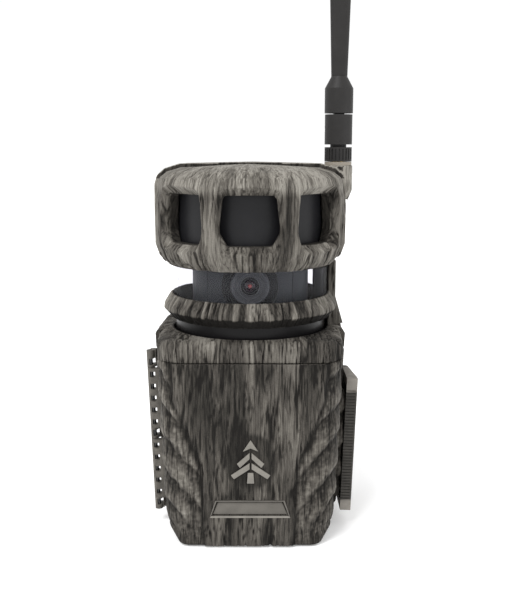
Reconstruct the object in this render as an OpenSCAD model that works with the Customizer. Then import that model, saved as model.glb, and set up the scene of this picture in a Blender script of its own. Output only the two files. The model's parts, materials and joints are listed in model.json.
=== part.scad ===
// Trail camera: a latched, hinged lower housing, a clear dome with a turning lens turret,
// and a six-window motion sensing head with a swivel antenna, carried on one side pillar.
// Millimetres. X to the right as seen from the front, Y to the back, Z up.
// The origin is the mouth of the tripod thread, on the turret's own axis.

/* [Lower body] */
// Half width of the rear housing at its foot
foot_hw = 43.3; // [42.5:0.1:44]
// Half width of the rear housing at the shoulder seam
seam_hw = 46.6; // [46:0.1:47.5]
// Height of the seam between door and shoulder
seam_z = 90; // [89:0.5:91]
// Height of the shoulder's top face
shoulder_z = 99; // [98.5:0.5:100]
// Distance from the turret axis to the back of the body
body_rear = 46; // [45:0.5:48]
// Plane of the joint between the door and the rear housing
door_y = -12; // [-13:0.5:-11]
// How much narrower than the housing the door is, on each side of its joint
door_step = 2; // [1.6:0.1:2.4]
// How much narrower than the housing the door is at its front corners
front_draw = 3.2; // [2.8:0.1:3.6]
// Wall thickness of the mouldings
wall = 2.6; // [2.2:0.1:2.8]

/* [Dome and turret] */
// Outer radius of the clear dome
dome_r = 38; // [37.8:0.1:38.1]
// Outer radius of the turning turret
turret_r = 28.7; // [28:0.1:29.5]
// Height of the lens axis
lens_z = 122.8; // [122.4:0.1:123]
// Teeth on the turret's gear
gear_teeth = 60; // [60:60:60]
// Teeth on the motor's pinion
pinion_teeth = 12; // [12:12:12]

/* [Head] */
// Largest radius of the front hood
head_r = 46.2; // [46:0.1:46.6]
// Height of the top of the head
head_top = 179.2; // [179:0.1:180]
// Outer radius of the motion sensor lens
pir_r = 36; // [35:0.1:36.2]

/* [Antenna] */
// Distance of the antenna axis to the right of the turret axis
antenna_x = 43.8; // [43.5:0.1:44]
// Distance of the antenna axis behind the turret axis
antenna_y = 10; // [9:0.5:10.5]
// Height of the antenna's tip
antenna_top = 300; // [270:5:340]

/* [Fits] */
// Radial clearance of a pin or shaft that turns
run_fit = 0.05; // [0.02:0.01:0.08]
// Gap between the door and its neighbours
seam_gap = 0.3; // [0.3:0.1:0.5]

/* [Hidden] */

$fn = 64;
eps = 0.01;

camo = [0.42, 0.40, 0.36];
camo_light = [0.55, 0.53, 0.49];
trim_grey = [0.46, 0.44, 0.41];
black_plastic = [0.12, 0.12, 0.12];
smoke = [0.20, 0.22, 0.25];
board_green = [0.10, 0.32, 0.20];
steel = [0.72, 0.73, 0.74];
brass = [0.78, 0.64, 0.34];
rubber = [0.15, 0.15, 0.15];

// Lower body: a tapered box with rounded corners and a bevelled foot
taper = (seam_hw - foot_hw) / seam_z;
tilt = atan(taper);
front_foot = 43.2;
front_slope = 0.016;
corner_front = 12;
corner_rear = 9;
housing_front = door_y + seam_gap / 2;
front_part_back = door_y + 8;
foot_h = 10;
foot_bevel = 6;
foot_front = 0.2;

function side_x(z) = foot_hw + taper * z;
function front_y(z) = front_foot + front_slope * z;
function foot_in(z) = z >= foot_h ? 0 : foot_bevel * (foot_h - z) / foot_h;

// Shoulder, deck and pillar
deck_z = 96.4;
deck_t = 2.4;
deck_r = 40.6;
opening_r = 38.3;
post_r = 8.9;
post_bore_r = 6;
post_top = 110.6;
spine_from = 0;
spine_to = 33;
spine_in = 38.6;
spine_out = 42.2;
spine_proud = 0.9;
spine_skin = 1.4;
channel_in = 40.2;
channel_from = 4;
channel_to = 29;

// Infrared window, seals and dome
window_r = 37;
window_t = 1.4;
window_top = 105.6;
seal_r = 0.7;
flange_z = window_top + 2 * seal_r;
flange_t = 1.6;
dome_wall = 1.6;
dome_top = 137.4;
base_z = dome_top + 2 * seal_r;
base_t = 2.5;

// Turret and its drive
drum_low = 107;
drum_high = 137;
drum_wall = 1.6;
recess_r = 13.5;
plate_y = -25.2;
gear_module = 0.7;
gear_z = 99.2;
gear_h = 4;
gear_r = gear_teeth * gear_module / 2;
pinion_r = pinion_teeth * gear_module / 2;
motor_y = gear_r + pinion_r;
motor_r = 10;
motor_low = 78;
motor_high = deck_z - deck_t;
shaft_r = 1;

// Head
head_low = 131.2;
head_wall = 2.4;
rim = 1.1;
hood_hole_r = 39.6;
pir_low = base_z + base_t;
pir_high = 169.3;
window_low = 142.9;
window_high = 165.8;
front_windows = [-138, -90, -42];
front_bevel = 4.4;
rear_windows = [42, 90, 138];
rear_bevel = 2.2;
sensor_r = 15;
sensor_z = 154.4;

// Antenna
boss_r = 7.2;
boss_top = 178.3;
nut_low = 180.2;
nut_high = 187.2;
knuckle_low = 188.5;
knuckle_high = 203.1;
knuckle_r = 6.8;
hinge_z = 195.8;
tongue_hw = 2.4;
whip_low = 203.7;
bell_r = 7;

// Hinge and latch, in frames that lie along the tapered sides
pin_r = 1;
hinge_out = 2.7;
barrel_r = 1.9;
web_in = 3.6;
hinge_low = 6.8;
hinge_high = 89;
hinge_cuts = [13.5, 43.9, 50, 80.3];
hole_first = 10.5;
hole_pitch = 6.06;
hole_w = 3.3;
hole_h = 3.1;
latch_low = 8;
latch_high = 76;
latch_front = -18;
latch_pin_y = 7;
latch_pin_out = 2.5;
latch_out = 6.6;
lug_zs = [22, 56];
lug_h = 7;

// Raised middle of the door and its blank label recess
panel_proud = 1.2;
label_z = 19.8;
label_deep = 1.5;

// Inner chassis, controls and batteries
chassis_hw = 32.5;
chassis_front = -38;
chassis_low = 6;
chassis_high = 84.8;
bay_hw = 31.8;
bay_low = 7.2;
bay_high = 54.4;
bay_rear = 20;
panel_t = 1.6;
panel_hw = 32.2;
panel_low = 54.8;
panel_high = 84.4;
key_x = 21;
key_z = 72;
key_gap = 7;
key_r = 2.6;
knob_x = 17.2;
knob_z = 59.3;
card_x = -30;
card_z = 56.9;
cell_r = 7.2;
cell_l = 50.5;
cell_front = -34.5;
cell_cols = [-22.8, -7.6, 7.6, 22.8];
cell_rows = [16.1, 30.8, 45.5];

// Boards, jack, bracket and fasteners
board_t = 1.6;
board_y = 24;
board_posts = [[-32, 12], [32, 12], [-32, 68], [32, 68]];
jack_x = 24;
jack_y = 33;
insert_r = 4.5;
insert_h = 5.6;
thread_r = 2.55;
strap_gap = 5;
bracket_t = 2.6;
bracket_screws = [[-20, 26], [20, 26], [-20, 70], [20, 70]];
deck_screw_angles = [60, 135, 225, 315];
deck_screw_r = 39.9;
screw_r = 1.2;

// ---- Shared shapes ----

// Two round posts of the plan, mirrored across the middle
module posts(x, y, z, r) {
    for (s = [-1, 1])
        translate([s * x, y, z])
            cylinder(r = r, h = eps, $fn = 32);
}

// Plan of the narrower front part at height z, moved in by inset and by the foot's bevel
module front_level(z, inset, foot = 0) {
    in = inset + foot;
    r = max(corner_front - in, 2);
    posts(side_x(z) - front_draw - in - r, -(front_y(z) - inset - foot * foot_front - r), z, r);
    posts(side_x(z) - door_step - in - 1, front_part_back - 1, z, 1);
}

// Plan of the wider rear part
module rear_level(z, inset, foot = 0) {
    in = inset + foot;
    r = max(corner_rear - in, 2);
    posts(side_x(z) - in - 1.5, housing_front + inset + 1.5, z, 1.5);
    posts(side_x(z) - in - r, body_rear - in - r, z, r);
}

// The two tapered parts between two heights, with every side moved in by inset
module front_block(low, high, inset = 0) {
    hull() {
        front_level(low, inset, foot_in(low));
        front_level(max(low, foot_h), inset);
        front_level(high - eps, inset);
    }
}

module rear_block(low, high, inset = 0) {
    hull() {
        rear_level(low, inset, foot_in(low));
        rear_level(max(low, foot_h), inset);
        rear_level(high - eps, inset);
    }
}

// Everything in front of, or behind, a plane across Y
module ahead_of(y) {
    translate([-200, y - 400, -50])
        cube([400, 400, 500]);
}

module behind(y) {
    translate([-200, y, -50])
        cube([400, 400, 500]);
}

module box(low, high) {
    translate(low)
        cube(high - low);
}

// A ring between two radii and two heights
module ring(r_in, r_out, low, high) {
    rotate_extrude()
        translate([r_in, low])
            square([r_out - r_in, high - low]);
}

// Part of a ring between two angles
module sector(r_in, r_out, low, high, from, to) {
    rotate([0, 0, from])
        rotate_extrude(angle = to - from)
            translate([r_in, low])
                square([r_out - r_in, high - low]);
}

// Frame along the right side: X out of the wall, Y back, Z up the wall
module right_side() {
    translate([foot_hw, 0, 0])
        rotate([0, tilt, 0])
            children();
}

module left_side() {
    mirror([1, 0, 0])
        right_side()
            children();
}

// A shape drawn along Z, turned to point out of the front at the lens height
module along_lens() {
    translate([0, 0, lens_z])
        rotate([90, 0, 0])
            children();
}

// ---- Lower body ----

// Hinge knuckle between two heights: a round barrel, and a web back to one side of the seam
module knuckle(low, high, to_front) {
    translate([hinge_out, door_y, low])
        cylinder(r = barrel_r, h = high - low);
    reach = 4;
    y = to_front ? door_y - reach : door_y + seam_gap / 2 + 0.1;
    w = reach - (to_front ? seam_gap / 2 + 0.1 : seam_gap / 2 + 0.1);
    into = to_front ? web_in : 1;
    translate([-into, y, low])
        cube([hinge_out + into + 0.2, w, high - low]);
}

// Rectangular windows through the hinge, first to last of the row
module hinge_holes(first, last) {
    for (i = [first:last])
        translate([0.5, door_y - 10, hole_first + i * hole_pitch - hole_h / 2])
            cube([hole_w - 0.5, 20, hole_h]);
}

module hinge_bore() {
    translate([hinge_out, door_y, hinge_low - 1])
        cylinder(r = pin_r + run_fit, h = hinge_high - hinge_low + 2);
}

module latch_lug(z) {
    translate([latch_pin_out, latch_pin_y, z])
        cylinder(r = barrel_r, h = lug_h);
    translate([-1, latch_pin_y - 1.2, z])
        cube([latch_pin_out + 1, 2.4, lug_h]);
}

module rear_housing() {
    color(camo) difference() {
        union() {
            difference() {
                rear_block(0, seam_z);
                rear_block(wall, seam_z + 1, wall);
                front_block(wall + 0.2, seam_z + 1.5, wall);
            }
            cylinder(r = insert_r + 3, h = insert_h);
            translate([jack_x, jack_y, 0])
                cylinder(r = 7.5, h = wall);
            left_side() {
                knuckle(hinge_low, hinge_cuts[0] - 0.1, false);
                knuckle(hinge_cuts[1] + 0.1, hinge_cuts[2] - 0.1, false);
                knuckle(hinge_cuts[3] + 0.1, hinge_high, false);
            }
            right_side()
                for (z = lug_zs)
                    latch_lug(z);
            for (p = board_posts)
                translate([p[0], board_y + board_t, p[1]])
                    rotate([-90, 0, 0])
                        cylinder(r = 2.6, h = body_rear - wall - board_y - board_t + 1);
        }
        translate([0, 0, -1])
            cylinder(r = insert_r, h = insert_h + 2);
        translate([jack_x, jack_y, -1])
            cylinder(r = 3, h = wall + 3);
        box([jack_x - 7, jack_y - 6, -1], [jack_x + 7, jack_y + 6, 1.6]);
        left_side() {
            hinge_bore();
            hinge_holes(0, 12);
        }
        right_side()
            translate([latch_pin_out, latch_pin_y, latch_low])
                cylinder(r = pin_r + run_fit, h = latch_high - latch_low);
        for (p = board_posts)
            translate([p[0], board_y, p[1]])
                rotate([-90, 0, 0])
                    cylinder(r = screw_r, h = 10);
        for (p = bracket_screws)
            translate([p[0], body_rear - wall - 1, p[1]])
                rotate([-90, 0, 0])
                    cylinder(r = screw_r, h = 10);
    }
}

// Outline of the pillar's section, from its flare at the shoulder up to the head
function spine_profile(grow) = [
    [spine_in, deck_z], [46.2 + grow, deck_z], [44.8 + grow, 104],
    [spine_out + grow, 113], [spine_out + grow, base_z], [spine_in, base_z]
];

// The pillar's outer skin only, thick by spine_skin and proud by spine_proud
function skin_profile() = [
    [46.2 + spine_proud - spine_skin, deck_z + 2.8], [46.2 + spine_proud, deck_z + 2.8],
    [44.8 + spine_proud, 104], [spine_out + spine_proud, 113], [spine_out + spine_proud, head_low],
    [spine_out + spine_proud - spine_skin, head_low],
    [spine_out + spine_proud - spine_skin, 113], [44.8 + spine_proud - spine_skin, 104]
];

module spine_sweep(profile, from, to) {
    rotate([0, 0, from])
        rotate_extrude(angle = to - from)
            polygon(profile);
}

// Outside of the shoulder: each part rises, then rounds over in four steps to its top
module shoulder_outer() {
    hull()
        for (k = [[seam_z + eps, 0], [96.5, 0], [98.4, 1.2], [shoulder_z + 0.3, 3.2], [shoulder_z + 0.5, 5.5]])
            front_level(k[0] - eps, k[1]);
    hull()
        for (k = [[seam_z + eps, seam_z + eps, 0], [97.2, 94, 0], [98.8, 96.4, 1.4], [99.4, 97.7, 3.6], [99.5, 98, 6]]) {
            posts(side_x(k[0]) - k[2] - 1.5, housing_front + k[2] / 2 + 1.5, k[0] - eps, 1.5);
            r = max(corner_rear - k[2], 2);
            posts(side_x(k[1]) - k[2] - r, body_rear - k[2] - r, k[1] - eps, r);
        }
}

module shoulder_inner() {
    for (part = [0, 1])
        hull()
            for (z = [seam_z - 0.1, deck_z])
                if (part == 0)
                    front_level(z, wall);
                else
                    rear_level(z, wall);
}

module shoulder_frame() {
    color(camo) difference() {
        union() {
            difference() {
                shoulder_outer();
                shoulder_inner();
                translate([0, 0, seam_z - 1])
                    cylinder(r = opening_r, h = 20);
            }
            spine_sweep(spine_profile(0), spine_from, spine_to);
        }
        sector(channel_in, 60, deck_z - 1, 136.5, channel_from, channel_to);
        sector(channel_in, 42.1, 136, 140, channel_from + 2, channel_to - 9);
        translate([0, 0, seam_z - 1])
            cylinder(r = opening_r, h = 15);
        for (a = deck_screw_angles)
            rotate([0, 0, a])
                translate([deck_screw_r, 0, deck_z - 1])
                    cylinder(r = screw_r, h = 2.2);
    }
}

module spine_cover() {
    color(camo_light)
        spine_sweep(skin_profile(), channel_from + 0.3, channel_to - 0.3);
}

module trim_ring() {
    color(camo)
        rotate([0, 0, spine_to])
            rotate_extrude(angle = 360 - spine_to + spine_from)
                polygon([
                    [37.4, 104.8], [38.9, 104.8], [43, 109.4], [42.6, 111.6], [39.4, 116.4],
                    [38.3, 116.7], [38.3, 106.9], [37.4, 106.9]
                ]);
}

module base_deck() {
    color(black_plastic) difference() {
        union() {
            translate([0, 0, deck_z - deck_t])
                cylinder(r = deck_r, h = deck_t);
            journal();
            for (a = [30:60:330])
                rotate([0, 0, a])
                    translate([33.2, 0, deck_z - eps])
                        cylinder(r = 1.4, h = gear_z - deck_z + eps);
        }
        translate([0, 0, deck_z - deck_t - 1])
            cylinder(r = post_bore_r, h = 40);
        translate([0, motor_y, deck_z - deck_t - 1])
            cylinder(r = 2.6, h = deck_t + 2);
        sector(39, deck_r + 1, deck_z - deck_t - 1, deck_z + 1, channel_from - 1, channel_to + 1);
        for (a = deck_screw_angles)
            rotate([0, 0, a])
                translate([deck_screw_r, 0, deck_z - deck_t - 1])
                    cylinder(r = screw_r, h = deck_t + 2);
    }
}

// Fixed journal that the turret turns on
module journal() {
    translate([0, 0, deck_z - eps])
        cylinder(r = post_r, h = post_top - deck_z + eps);
}

// Plastic frame behind the door: battery bay below, controls above, and the sealing plate
module inner_chassis() {
    color([0.23, 0.23, 0.24]) difference() {
        union() {
            intersection() {
                front_block(wall + 0.4, seam_z - 1, wall + 0.4);
                box([-100, door_y, 0], [100, door_y + 2.4, 100]);
            }
            intersection() {
                front_block(wall + 0.5, seam_z - 1, wall + 2);
                box([-chassis_hw, chassis_front, chassis_low], [chassis_hw, door_y + 1, chassis_high]);
            }
            box([-bay_hw - 1.2, door_y, chassis_low], [bay_hw + 1.2, bay_rear + 1.2, bay_high + 1.2]);
        }
        box([-bay_hw, chassis_front - 1, bay_low], [bay_hw, bay_rear, bay_high]);
        box([-bay_hw, chassis_front - 1, bay_high + 1.4], [bay_hw, door_y + 5, 83.2]);
    }
}

// ---- Door, hinge and latch ----

// Raised middle of the door, wide at the top and narrowing to the foot
function door_panel() = [
    [-36.5, seam_z], [-35.6, 72], [-25.5, 50], [-22.5, 40], [-21.5, 0],
    [20.5, 0], [21, 38], [23.8, 46], [34.5, 72], [35.8, seam_z]
];

module door_outer() {
    intersection() {
        union() {
            front_block(seam_gap, seam_z - seam_gap);
            intersection() {
                front_block(seam_gap, seam_z - seam_gap, -panel_proud);
                rotate([90, 0, 0])
                    linear_extrude(100)
                        polygon(door_panel());
                ahead_of(-36);
            }
        }
        ahead_of(door_y - seam_gap / 2);
    }
}

module front_door() {
    color(camo) difference() {
        union() {
            difference() {
                door_outer();
                front_block(wall + seam_gap, seam_z - wall - seam_gap, wall);
            }
            left_side() {
                knuckle(hinge_cuts[0] + 0.1, hinge_cuts[1] - 0.1, true);
                knuckle(hinge_cuts[2] + 0.1, hinge_cuts[3] - 0.1, true);
            }
            right_side()
                box([-web_in, door_y - 3.6, latch_low + 6], [0.9, door_y - 1.2, latch_high - 6]);
        }
        left_side() {
            hinge_bore();
            hinge_holes(0, 12);
        }
        translate([0, -front_y(label_z) - panel_proud, label_z])
            rotate([90, 0, 0])
                linear_extrude(2 * label_deep, center = true)
                    polygon([[-18.3, -3.6], [18.3, -3.6], [15.6, 3.6], [-15.6, 3.6]]);
    }
}

module door_gasket() {
    color(rubber) difference() {
        intersection() {
            front_block(wall + 0.8, chassis_high + 1.4, wall + 0.5);
            box([-100, door_y - 2, 0], [100, door_y, 100]);
        }
        box([-chassis_hw, door_y - 3, chassis_low], [chassis_hw, door_y + 1, chassis_high]);
    }
}

module hinge_pin() {
    color(steel)
        left_side()
            translate([hinge_out, door_y, hinge_low + 0.4])
                cylinder(r = pin_r, h = hinge_high - hinge_low - 0.8);
}

// Long side latch: a wedge in plan that is thick at its front grip and thin at its pivot
module latch() {
    color(trim_grey) right_side() difference() {
        union() {
            translate([0, 0, latch_low])
                linear_extrude(latch_high - latch_low)
                    polygon([
                        [1.3, latch_front], [latch_out, latch_front], [latch_out, latch_front + 3],
                        [latch_pin_out + 1.6, latch_pin_y + 1], [latch_pin_out, latch_pin_y],
                        [1.3, latch_pin_y - 2.4]
                    ]);
            translate([latch_pin_out, latch_pin_y, latch_low])
                cylinder(r = barrel_r, h = latch_high - latch_low);
        }
        for (z = lug_zs)
            box([-1, latch_pin_y - 4.2, z - 0.3], [latch_out + 1, latch_pin_y + 4, z + lug_h + 0.3]);
        translate([latch_pin_out, latch_pin_y, latch_low - 1])
            cylinder(r = pin_r + run_fit, h = latch_high - latch_low + 2);
        for (z = [latch_low + 6:1.5:latch_high - 6])
            box([1, latch_front - 1, z], [latch_out - 0.8, latch_front + 0.5, z + 0.7]);
        box([-1, -15.8, latch_low + 4], [3.2, -1, latch_high - 4]);
    }
}

module latch_pin() {
    color(steel)
        right_side()
            translate([latch_pin_out, latch_pin_y, latch_low + 0.4])
                cylinder(r = pin_r, h = latch_high - latch_low - 0.8);
}

// ---- Dome and infrared window ----

module ir_window() {
    color(black_plastic)
        ring(window_r - window_t, window_r, deck_z, window_top);
}

module led_board() {
    color(board_green)
        union() {
            ring(30.8, 34.9, gear_z, gear_z + board_t);
            for (a = [7.5:15:352.5])
                rotate([0, 0, a])
                    translate([31.4, 0, gear_z + board_t + 1.4])
                        rotate([0, 90, 0])
                            cylinder(r = 1.5, h = 3.8);
        }
}

module clear_dome() {
    color([0.85, 0.88, 0.92, 0.35])
        rotate_extrude()
            polygon([
                [33.6, flange_z], [dome_r, flange_z], [dome_r, dome_top], [dome_r - dome_wall, dome_top],
                [dome_r - dome_wall, flange_z + flange_t], [33.6, flange_z + flange_t]
            ]);
}

module dome_seals() {
    color(rubber)
        for (p = [[window_r - window_t / 2, window_top + seal_r], [dome_r - dome_wall / 2, dome_top + seal_r]])
            rotate_extrude()
                translate(p)
                    circle(r = seal_r);
}

// ---- Turret ----

module turret_drum() {
    color(smoke) difference() {
        union() {
            difference() {
                translate([0, 0, drum_low])
                    cylinder(r = turret_r, h = drum_high - drum_low);
                translate([0, 0, drum_low + drum_wall])
                    cylinder(r = turret_r - drum_wall, h = drum_high - drum_low - 2 * drum_wall);
            }
            intersection() {
                translate([0, 0, drum_low + 0.4])
                    cylinder(r = turret_r - 0.4, h = drum_high - drum_low - 0.8);
                along_lens()
                    translate([0, 0, -plate_y - 1.6])
                        cylinder(r = recess_r + 1, h = 10);
            }
        }
        translate([0, 0, drum_low - 1])
            cylinder(r = post_r + 2 * run_fit, h = 5);
        along_lens()
            translate([0, 0, -plate_y - 2])
                cylinder(r = recess_r, h = 10);
        for (a = [-135, -45])
            rotate([0, 0, a])
                box([turret_r - 0.4, -0.25, drum_low - 1], [turret_r + 1, 0.25, drum_high + 1]);
    }
}

// Involute tooth form: the half width of a tooth, as an angle, at radius r
function inv(a) = tan(a) * 180 / PI - a;
function tooth_half(n, r, slack) =
    let (rp = n * gear_module / 2, rb = rp * cos(20))
    90 / n - slack / (2 * rp) * 180 / PI + inv(20) - (r > rb ? inv(acos(rb / r)) : 0);

function gear_outline(n, add, ded, slack) =
    let (rp = n * gear_module / 2, rs = [rp - ded, max(rp - ded / 2, rp * 0.95), rp, rp + add])
    [for (i = [0:n - 1]) each concat(
        [for (r = rs) let (a = i * 360 / n - tooth_half(n, r, slack)) [r * cos(a), r * sin(a)]],
        [for (k = [3:-1:0]) let (r = rs[k], a = i * 360 / n + tooth_half(n, r, slack))
            [r * cos(a), r * sin(a)]]
    )];

module turret_gear() {
    color([0.85, 0.85, 0.80]) difference() {
        union() {
            translate([0, 0, gear_z])
                linear_extrude(gear_h)
                    polygon(gear_outline(gear_teeth, 0.5, 0.9, 0.12));
            translate([0, 0, gear_z - 0.4])
                cylinder(r = 13, h = drum_low - gear_z + 0.4);
        }
        translate([0, 0, gear_z - 1])
            cylinder(r = post_r + run_fit, h = 12);
    }
}

module lens_plate() {
    color([0.08, 0.08, 0.09])
        along_lens()
            translate([0, 0, -plate_y - 1.4])
                difference() {
                    cylinder(r = recess_r - run_fit, h = 1.4);
                    translate([0, 0, -1])
                        cylinder(r = 4.5, h = 4);
                }
}

module lens_bezel() {
    color([0.30, 0.31, 0.33])
        along_lens()
            translate([0, 0, -plate_y])
                rotate_extrude()
                    polygon([[4.5, 0], [9.2, 0], [9.2, 2.2], [8.5, 2.7], [5.4, 1.5], [4.5, 1.5]]);
}

module lens_barrel() {
    color(black_plastic)
        along_lens()
            translate([0, 0, 13])
                difference() {
                    cylinder(r = 4.4, h = 14);
                    translate([0, 0, 12.8])
                        cylinder(r = 3.4, h = 2);
                }
}

module lens_glass() {
    color([0.25, 0.20, 0.30, 0.6])
        along_lens()
            translate([0, 0, 13 + 12.8])
                rotate_extrude()
                    intersection() {
                        translate([0, -4.4])
                            circle(r = 5.5);
                        square([3.35, 3]);
                    }
}

module sensor_board() {
    color(board_green)
        box([-13, -13, lens_z - 10], [13, -13 + board_t, lens_z + 10]);
}

module turret_motor() {
    color(steel) difference() {
        union() {
            translate([0, motor_y, motor_low])
                cylinder(r = motor_r, h = motor_high - motor_low);
            for (s = [-1, 1])
                translate([s * 13, motor_y, motor_high - 1])
                    cylinder(r = 3.2, h = 1);
            box([-13, motor_y - 3.2, motor_high - 1], [13, motor_y + 3.2, motor_high]);
        }
        translate([0, motor_y, motor_high - 6])
            cylinder(r = shaft_r + run_fit, h = 8);
    }
}

module motor_shaft() {
    color(steel)
        translate([0, motor_y, motor_high - 5.6])
            cylinder(r = shaft_r, h = gear_z + gear_h + 0.4 - motor_high + 5.6);
}

module motor_pinion() {
    color(brass)
        translate([0, motor_y, gear_z - 0.2])
            difference() {
                rotate([0, 0, 180 / pinion_teeth])
                    linear_extrude(gear_h + 0.4)
                        polygon(gear_outline(pinion_teeth, 0.7, 0.85, 0.12));
                translate([0, 0, -1])
                    cylinder(r = shaft_r, h = gear_h + 3);
            }
}

module lens_flex() {
    color([0.75, 0.50, 0.18])
        box([-3, 2.4, 88], [3, 2.7, 113]);
}

// ---- Head ----

// Section of the head; grow moves it outwards
function head_profile(g) = [
    [0, head_low - (g < 0 ? g : 0)], [41.3 + g, head_low - (g < 0 ? g : 0)], [44 + g, 134.6],
    [46 + g, 140.2], [head_r + g, 155], [head_r - 0.1 + g, 169.5], [44.8 + g, 173.2 + g / 2],
    [41 + g, 176.2 + g * 0.8], [34 + g, 178.2 + g], [0, head_top + g]
];

module head_body(g) {
    rotate_extrude()
        polygon(head_profile(g));
}

// Outline of one sensor window, seen square on; g makes it larger
function window_outline(g) = [
    [-10.2 - g, window_low - g], [10.2 + g, window_low - g], [13.5 + g, 148.5], [13.7 + g, 151.5],
    [12.2 + g, 164.4 + g], [10.9 + g, window_high + g], [-10.9 - g, window_high + g],
    [-12.2 - g, 164.4 + g], [-13.7 - g, 151.5], [-13.5 - g, 148.5]
];

module window_prism(angle, g, from, to) {
    rotate([0, 0, angle + 90])
        translate([0, -from, 0])
            rotate([90, 0, 0])
                linear_extrude(to - from)
                    polygon(window_outline(g));
}

// Flared mouth of a window: its outline at radius inner, larger by bevel at radius outer
module window_flare(angle, bevel, inner, outer) {
    hull() {
        window_prism(angle, 0.1, inner, inner + eps);
        window_prism(angle, bevel, outer, outer + eps);
    }
}

// A head shell: outer skin, and a collar in from each window to the sensor lens
module head_shell(g, angles, bevel) {
    difference() {
        union() {
            difference() {
                head_body(g);
                head_body(-head_wall);
            }
            for (a = angles)
                intersection() {
                    window_prism(a, bevel + 0.3, 30, 60);
                    union() {
                        ring(pir_r + 0.5, 44.6, base_z + base_t + eps, pir_high + 3);
                        ring(42.9, 44.6, base_z - 1, base_z + base_t + 1);
                    }
                }
        }
        for (a = angles)
            window_prism(a, 0, 30, 60);
        for (a = angles)
            window_flare(a, bevel, head_r - 5.2, head_r + g + 0.4);
        translate([0, 0, head_low - 2])
            cylinder(r = hood_hole_r, h = 8);
        sector(30, spine_out + spine_proud + 0.4, head_low - 2, base_z, spine_from - 1, spine_to + 1);
    }
}

module front_hood() {
    color(camo) intersection() {
        head_shell(0, front_windows, front_bevel);
        ahead_of(-0.1);
    }
}

module rear_shell() {
    color(camo_light) difference() {
        union() {
            intersection() {
                head_shell(rim, rear_windows, rear_bevel);
                behind(0);
            }
            difference() {
                translate([antenna_x, antenna_y, 0]) {
                    translate([0, 0, 166])
                        cylinder(r = boss_r, h = boss_top - 166);
                    translate([0, 0, 152])
                        cylinder(r1 = 1.5, r2 = boss_r, h = 14);
                }
                head_body(-head_wall);
            }
        }
        translate([antenna_x, antenna_y, 160])
            cylinder(r = 5, h = 11);
        translate([antenna_x, antenna_y, 160])
            cylinder(r = 3.1, h = 30);
        window_prism(rear_windows[0], 0, 30, 60);
    }
}

module head_base() {
    color(black_plastic) difference() {
        translate([0, 0, base_z])
            cylinder(r = 42.6, h = base_t);
        sector(38.9, 45, base_z - 1, pir_low + 1, channel_from + 0.5, channel_to - 0.5);
    }
}

module pir_lens() {
    color([0.10, 0.10, 0.11])
        ring(pir_r - 1.2, pir_r, pir_low, pir_high);
}

module pir_board() {
    color(board_green)
        translate([0, 0, pir_low])
            difference() {
                cylinder(r = 31, h = board_t);
                translate([0, 0, -1])
                    cylinder(r = 5, h = 4);
            }
}

module pir_carrier() {
    color([0.85, 0.85, 0.84])
        translate([0, 0, pir_low + board_t])
            difference() {
                cylinder(r = 18, h = 20);
                translate([0, 0, -1])
                    cylinder(r = 13, h = 22);
                for (a = concat(front_windows, rear_windows))
                    rotate([0, 0, a])
                        translate([sensor_r, 0, sensor_z - pir_low - board_t])
                            rotate([0, 90, 0])
                                cylinder(r = 4.65, h = 10);
            }
}

module pir_sensors() {
    color(steel)
        for (a = concat(front_windows, rear_windows))
            rotate([0, 0, a])
                translate([sensor_r, 0, sensor_z])
                    rotate([0, 90, 0])
                        difference() {
                            cylinder(r = 4.6, h = 4.2);
                            translate([-1.5, -2, 3.9])
                                cube([3, 4, 1]);
                        }
}

// ---- Antenna ----

module at_antenna(z) {
    translate([antenna_x, antenna_y, z])
        children();
}

module antenna_gasket() {
    color(camo_light)
        at_antenna(boss_top)
            difference() {
                cylinder(r = 6.7, h = 1.7);
                translate([0, 0, -1])
                    cylinder(r = 3.1, h = 5);
            }
}

module antenna_connector() {
    color(brass)
        at_antenna(0)
            difference() {
                union() {
                    translate([0, 0, 166.5])
                        cylinder(r = 3.1, h = 183.8 - 166.5);
                    translate([0, 0, 169.4])
                        cylinder(r = 4.6, h = 1.6, $fn = 6);
                }
                translate([0, 0, 180])
                    cylinder(r = 1.2, h = 6);
            }
}

// Round lead swept along a route: eight-sided rings, one at each point of the route
function unit(v) = v / norm(v);
function heading(path, i) =
    unit(path[min(i + 1, len(path) - 1)] - path[max(i - 1, 0)]);
function ring_points(c, t, r) =
    let (u = unit(cross(t, [1, 0.3, 0.1])), w = cross(t, u))
    [for (k = [0:7]) c + r * (cos(45 * k) * u + sin(45 * k) * w)];
function smooth(p, steps) = [
    for (i = [0:len(p) - 2]) for (s = [0:steps - 1])
        let (t = s / steps, a = p[max(i - 1, 0)], b = p[i], c = p[i + 1], d = p[min(i + 2, len(p) - 1)])
        0.5 * ((2 * b) + (c - a) * t + (2 * a - 5 * b + 4 * c - d) * t * t
            + (3 * b - a - 3 * c + d) * t * t * t),
    p[len(p) - 1]
];

module swept_lead(route, r) {
    path = smooth(route, 3);
    n = len(path);
    points = [for (i = [0:n - 1]) each ring_points(path[i], heading(path, i), r)];
    sides = [for (i = [0:n - 2]) for (k = [0:7])
        [i * 8 + k, i * 8 + (k + 1) % 8, (i + 1) * 8 + (k + 1) % 8, (i + 1) * 8 + k]];
    first = [for (k = [7:-1:0]) k];
    last = [for (k = [0:7]) (n - 1) * 8 + k];
    polyhedron(points = points, faces = concat([first], sides, [last]), convexity = 8);
}

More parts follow.
